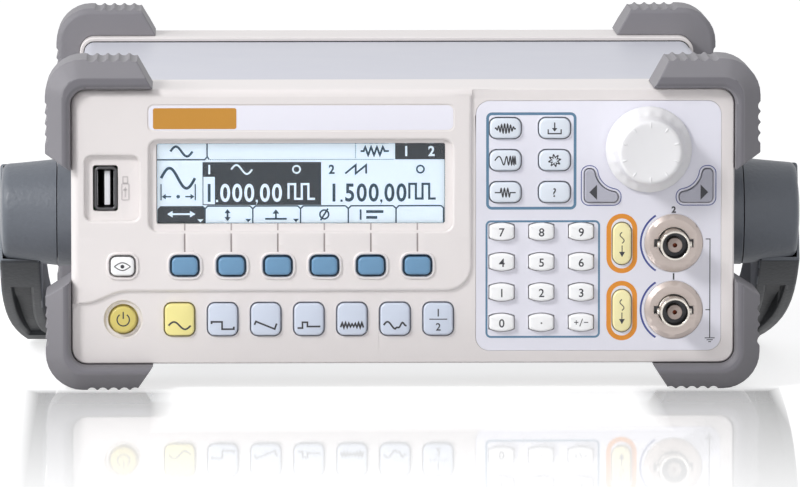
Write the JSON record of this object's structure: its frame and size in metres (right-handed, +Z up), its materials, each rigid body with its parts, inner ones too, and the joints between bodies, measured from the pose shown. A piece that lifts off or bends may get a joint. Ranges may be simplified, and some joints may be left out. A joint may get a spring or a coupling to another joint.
{
  "type": "function generator",
  "caption": "Bench function generator: moulded front with keys, display, knob and output jacks, sheet-metal case, rubber corner bumpers and a swinging carrying handle.",
  "frame": {"origin": "middle of the ground rectangle under the whole part, at the height its bumpers stand on", "axes": "+X to the right of the front panel, +Y from the front panel to the rear, +Z up"},
  "size_m": [0.2634, 0.2868, 0.1076],
  "materials": {
    "bezel": "satin moulded plastic",
    "overlay": "printed film",
    "lens": "clear lens",
    "dark_plastic": "moulded plastic",
    "board": "circuit board",
    "mat_rubber": "moulded silicone",
    "steel": "sheet steel",
    "nickel": "nickel plated",
    "cover_paint": "fine texture paint",
    "bumper_rubber": "moulded rubber",
    "handle_plastic": "pebble grain",
    "knob_plastic": "satin",
    "key_blue": "satin",
    "soft_blue": "satin",
    "key_white": "satin",
    "key_yellow": "satin",
    "key_grey": "satin"
  },
  "bodies": {
    "case": {"front_bezel": "bezel", "control_overlay": "overlay", "display_window": "lens", "lcd_module": "dark_plastic", "front_board": "board", "key_mat": "mat_rubber", "rotary_encoder": "steel", "usb_host_port": "steel", "bnc_jacks": "nickel", "case_cover": "cover_paint", "chassis": "steel", "rear_frame": "bezel", "corner_bumpers": "bumper_rubber", "main_board": "board", "power_supply": "board", "fan_frame": "dark_plastic", "mains_inlet": "dark_plastic", "screws": "steel", "handle_pivots": "handle_plastic"},
    "power_key": {"power_key": "key_yellow"},
    "view_key": {"view_key": "key_white"},
    "soft_key_1": {"soft_key_1": "soft_blue"},
    "soft_key_2": {"soft_key_2": "soft_blue"},
    "soft_key_3": {"soft_key_3": "soft_blue"},
    "soft_key_4": {"soft_key_4": "soft_blue"},
    "soft_key_5": {"soft_key_5": "soft_blue"},
    "soft_key_6": {"soft_key_6": "soft_blue"},
    "sine_key": {"sine_key": "key_yellow"},
    "square_key": {"square_key": "key_blue"},
    "ramp_key": {"ramp_key": "key_blue"},
    "pulse_key": {"pulse_key": "key_blue"},
    "noise_key": {"noise_key": "key_blue"},
    "arb_key": {"arb_key": "key_blue"},
    "channel_key": {"channel_key": "key_blue"},
    "mod_key": {"mod_key": "key_blue"},
    "sweep_key": {"sweep_key": "key_blue"},
    "burst_key": {"burst_key": "key_blue"},
    "store_key": {"store_key": "key_blue"},
    "utility_key": {"utility_key": "key_blue"},
    "help_key": {"help_key": "key_blue"},
    "digit_0_key": {"digit_0_key": "key_white"},
    "digit_1_key": {"digit_1_key": "key_white"},
    "digit_2_key": {"digit_2_key": "key_white"},
    "digit_3_key": {"digit_3_key": "key_white"},
    "digit_4_key": {"digit_4_key": "key_white"},
    "digit_5_key": {"digit_5_key": "key_white"},
    "digit_6_key": {"digit_6_key": "key_white"},
    "digit_7_key": {"digit_7_key": "key_white"},
    "digit_8_key": {"digit_8_key": "key_white"},
    "digit_9_key": {"digit_9_key": "key_white"},
    "point_key": {"point_key": "key_white"},
    "sign_key": {"sign_key": "key_white"},
    "left_key": {"left_key": "key_grey"},
    "right_key": {"right_key": "key_grey"},
    "output_key_1": {"output_key_1": "key_yellow"},
    "output_key_2": {"output_key_2": "key_yellow"},
    "knob": {"knob": "knob_plastic"},
    "handle": {"handle": "handle_plastic"},
    "power_rocker": {"power_rocker": "dark_plastic"},
    "fan_rotor": {"fan_rotor": "dark_plastic"}
  },
  "joints": [
    {"name": "power_key_press", "type": "slide", "parent": "case", "child": "power_key", "axis": [0, 1, 0], "range_m": [0, 0.0012], "stiffness_N_per_m": 400},
    {"name": "view_key_press", "type": "slide", "parent": "case", "child": "view_key", "axis": [0, 1, 0], "range_m": [0, 0.0012], "stiffness_N_per_m": 400},
    {"name": "soft_key_1_press", "type": "slide", "parent": "case", "child": "soft_key_1", "axis": [0, 1, 0], "range_m": [0, 0.0012], "stiffness_N_per_m": 400},
    {"name": "soft_key_2_press", "type": "slide", "parent": "case", "child": "soft_key_2", "axis": [0, 1, 0], "range_m": [0, 0.0012], "stiffness_N_per_m": 400},
    {"name": "soft_key_3_press", "type": "slide", "parent": "case", "child": "soft_key_3", "axis": [0, 1, 0], "range_m": [0, 0.0012], "stiffness_N_per_m": 400},
    {"name": "soft_key_4_press", "type": "slide", "parent": "case", "child": "soft_key_4", "axis": [0, 1, 0], "range_m": [0, 0.0012], "stiffness_N_per_m": 400},
    {"name": "soft_key_5_press", "type": "slide", "parent": "case", "child": "soft_key_5", "axis": [0, 1, 0], "range_m": [0, 0.0012], "stiffness_N_per_m": 400},
    {"name": "soft_key_6_press", "type": "slide", "parent": "case", "child": "soft_key_6", "axis": [0, 1, 0], "range_m": [0, 0.0012], "stiffness_N_per_m": 400},
    {"name": "sine_key_press", "type": "slide", "parent": "case", "child": "sine_key", "axis": [0, 1, 0], "range_m": [0, 0.0012], "stiffness_N_per_m": 400},
    {"name": "square_key_press", "type": "slide", "parent": "case", "child": "square_key", "axis": [0, 1, 0], "range_m": [0, 0.0012], "stiffness_N_per_m": 400},
    {"name": "ramp_key_press", "type": "slide", "parent": "case", "child": "ramp_key", "axis": [0, 1, 0], "range_m": [0, 0.0012], "stiffness_N_per_m": 400},
    {"name": "pulse_key_press", "type": "slide", "parent": "case", "child": "pulse_key", "axis": [0, 1, 0], "range_m": [0, 0.0012], "stiffness_N_per_m": 400},
    {"name": "noise_key_press", "type": "slide", "parent": "case", "child": "noise_key", "axis": [0, 1, 0], "range_m": [0, 0.0012], "stiffness_N_per_m": 400},
    {"name": "arb_key_press", "type": "slide", "parent": "case", "child": "arb_key", "axis": [0, 1, 0], "range_m": [0, 0.0012], "stiffness_N_per_m": 400},
    {"name": "channel_key_press", "type": "slide", "parent": "case", "child": "channel_key", "axis": [0, 1, 0], "range_m": [0, 0.0012], "stiffness_N_per_m": 400},
    {"name": "mod_key_press", "type": "slide", "parent": "case", "child": "mod_key", "axis": [0, 1, 0], "range_m": [0, 0.0012], "stiffness_N_per_m": 400},
    {"name": "sweep_key_press", "type": "slide", "parent": "case", "child": "sweep_key", "axis": [0, 1, 0], "range_m": [0, 0.0012], "stiffness_N_per_m": 400},
    {"name": "burst_key_press", "type": "slide", "parent": "case", "child": "burst_key", "axis": [0, 1, 0], "range_m": [0, 0.0012], "stiffness_N_per_m": 400},
    {"name": "store_key_press", "type": "slide", "parent": "case", "child": "store_key", "axis": [0, 1, 0], "range_m": [0, 0.0012], "stiffness_N_per_m": 400},
    {"name": "utility_key_press", "type": "slide", "parent": "case", "child": "utility_key", "axis": [0, 1, 0], "range_m": [0, 0.0012], "stiffness_N_per_m": 400},
    {"name": "help_key_press", "type": "slide", "parent": "case", "child": "help_key", "axis": [0, 1, 0], "range_m": [0, 0.0012], "stiffness_N_per_m": 400},
    {"name": "digit_0_key_press", "type": "slide", "parent": "case", "child": "digit_0_key", "axis": [0, 1, 0], "range_m": [0, 0.0012], "stiffness_N_per_m": 400},
    {"name": "digit_1_key_press", "type": "slide", "parent": "case", "child": "digit_1_key", "axis": [0, 1, 0], "range_m": [0, 0.0012], "stiffness_N_per_m": 400},
    {"name": "digit_2_key_press", "type": "slide", "parent": "case", "child": "digit_2_key", "axis": [0, 1, 0], "range_m": [0, 0.0012], "stiffness_N_per_m": 400},
    {"name": "digit_3_key_press", "type": "slide", "parent": "case", "child": "digit_3_key", "axis": [0, 1, 0], "range_m": [0, 0.0012], "stiffness_N_per_m": 400},
    {"name": "digit_4_key_press", "type": "slide", "parent": "case", "child": "digit_4_key", "axis": [0, 1, 0], "range_m": [0, 0.0012], "stiffness_N_per_m": 400},
    {"name": "digit_5_key_press", "type": "slide", "parent": "case", "child": "digit_5_key", "axis": [0, 1, 0], "range_m": [0, 0.0012], "stiffness_N_per_m": 400},
    {"name": "digit_6_key_press", "type": "slide", "parent": "case", "child": "digit_6_key", "axis": [0, 1, 0], "range_m": [0, 0.0012], "stiffness_N_per_m": 400},
    {"name": "digit_7_key_press", "type": "slide", "parent": "case", "child": "digit_7_key", "axis": [0, 1, 0], "range_m": [0, 0.0012], "stiffness_N_per_m": 400},
    {"name": "digit_8_key_press", "type": "slide", "parent": "case", "child": "digit_8_key", "axis": [0, 1, 0], "range_m": [0, 0.0012], "stiffness_N_per_m": 400},
    {"name": "digit_9_key_press", "type": "slide", "parent": "case", "child": "digit_9_key", "axis": [0, 1, 0], "range_m": [0, 0.0012], "stiffness_N_per_m": 400},
    {"name": "point_key_press", "type": "slide", "parent": "case", "child": "point_key", "axis": [0, 1, 0], "range_m": [0, 0.0012], "stiffness_N_per_m": 400},
    {"name": "sign_key_press", "type": "slide", "parent": "case", "child": "sign_key", "axis": [0, 1, 0], "range_m": [0, 0.0012], "stiffness_N_per_m": 400},
    {"name": "left_key_press", "type": "slide", "parent": "case", "child": "left_key", "axis": [0, 1, 0], "range_m": [0, 0.0012], "stiffness_N_per_m": 400},
    {"name": "right_key_press", "type": "slide", "parent": "case", "child": "right_key", "axis": [0, 1, 0], "range_m": [0, 0.0012], "stiffness_N_per_m": 400},
    {"name": "output_key_1_press", "type": "slide", "parent": "case", "child": "output_key_1", "axis": [0, 1, 0], "range_m": [0, 0.0012], "stiffness_N_per_m": 400},
    {"name": "output_key_2_press", "type": "slide", "parent": "case", "child": "output_key_2", "axis": [0, 1, 0], "range_m": [0, 0.0012], "stiffness_N_per_m": 400},
    {"name": "knob_turn", "type": "hinge", "parent": "case", "child": "knob", "pos_m": [0.0797, -0.13115, 0.0781], "axis": [0, -1, 0], "continuous": true},
    {"name": "handle_swing", "type": "hinge", "parent": "case", "child": "handle", "pos_m": [0, -0.08465, 0.0539], "axis": [-1, 0, 0], "range_deg": [0, 308]},
    {"name": "power_rocker_tip", "type": "hinge", "parent": "case", "child": "power_rocker", "pos_m": [0.0756, 0.12645, 0.0694], "axis": [-1, 0, 0], "range_deg": [0, 20]},
    {"name": "fan_spin", "type": "hinge", "parent": "case", "child": "fan_rotor", "pos_m": [-0.0706, 0.12185, 0.0532], "axis": [0, 1, 0], "continuous": true}
  ]
}
